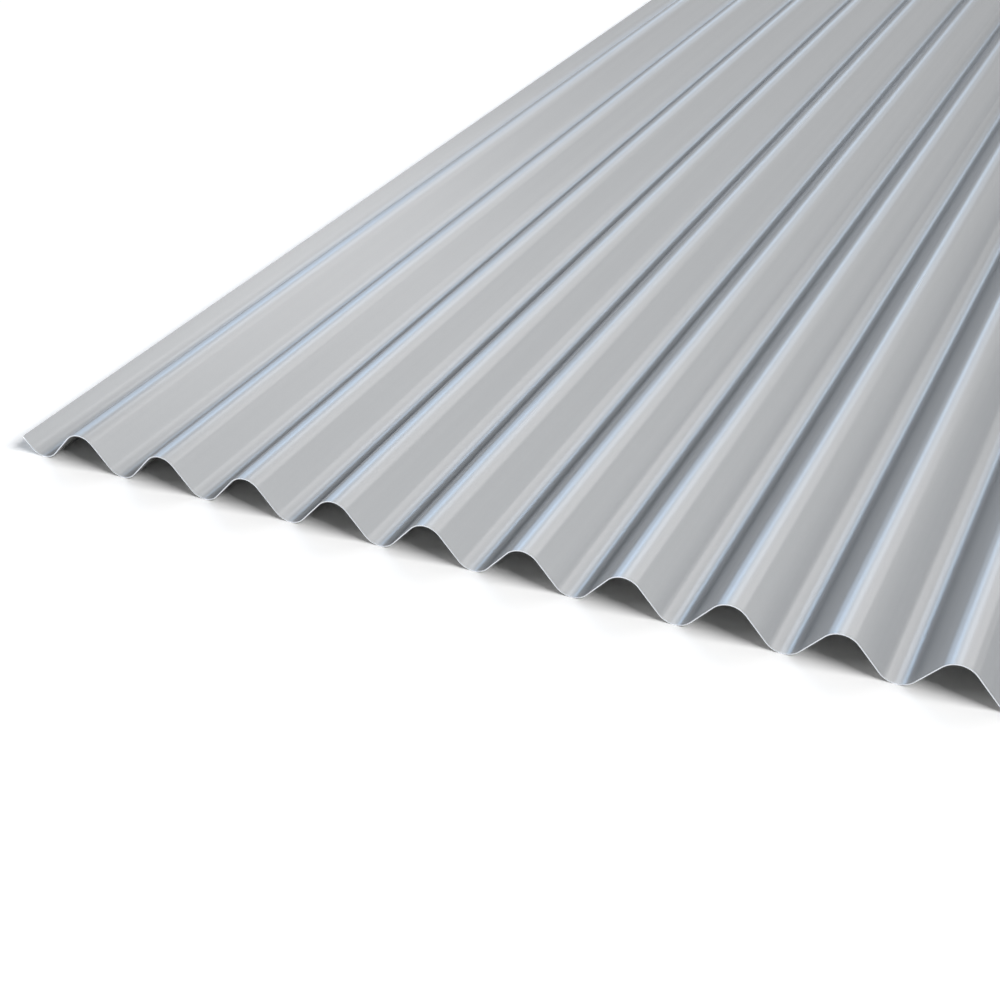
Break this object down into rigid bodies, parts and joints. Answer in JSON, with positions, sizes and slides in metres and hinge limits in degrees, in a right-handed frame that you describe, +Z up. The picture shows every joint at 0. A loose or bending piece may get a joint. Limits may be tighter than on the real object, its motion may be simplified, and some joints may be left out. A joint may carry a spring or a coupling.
{
  "type": "corrugated steel sheet",
  "caption": "Corrugated sheet of grey coated steel: even round waves along its length, one long edge turned up and the other down so that sheets lap; roofing and cladding stock.",
  "frame": {"origin": "on the floor, under the middle of the sheet", "axes": "+X across the waves towards the edge that is turned down, +Y along the waves, +Z up"},
  "size_m": [0.9484, 2.44, 0.0251],
  "materials": {
    "coated_steel": "satin light grey coil coating over zinc-coated steel, with bare cut edges"
  },
  "bodies": {
    "root": {"corrugated_sheet": "coated_steel"}
  },
  "joints": []
}
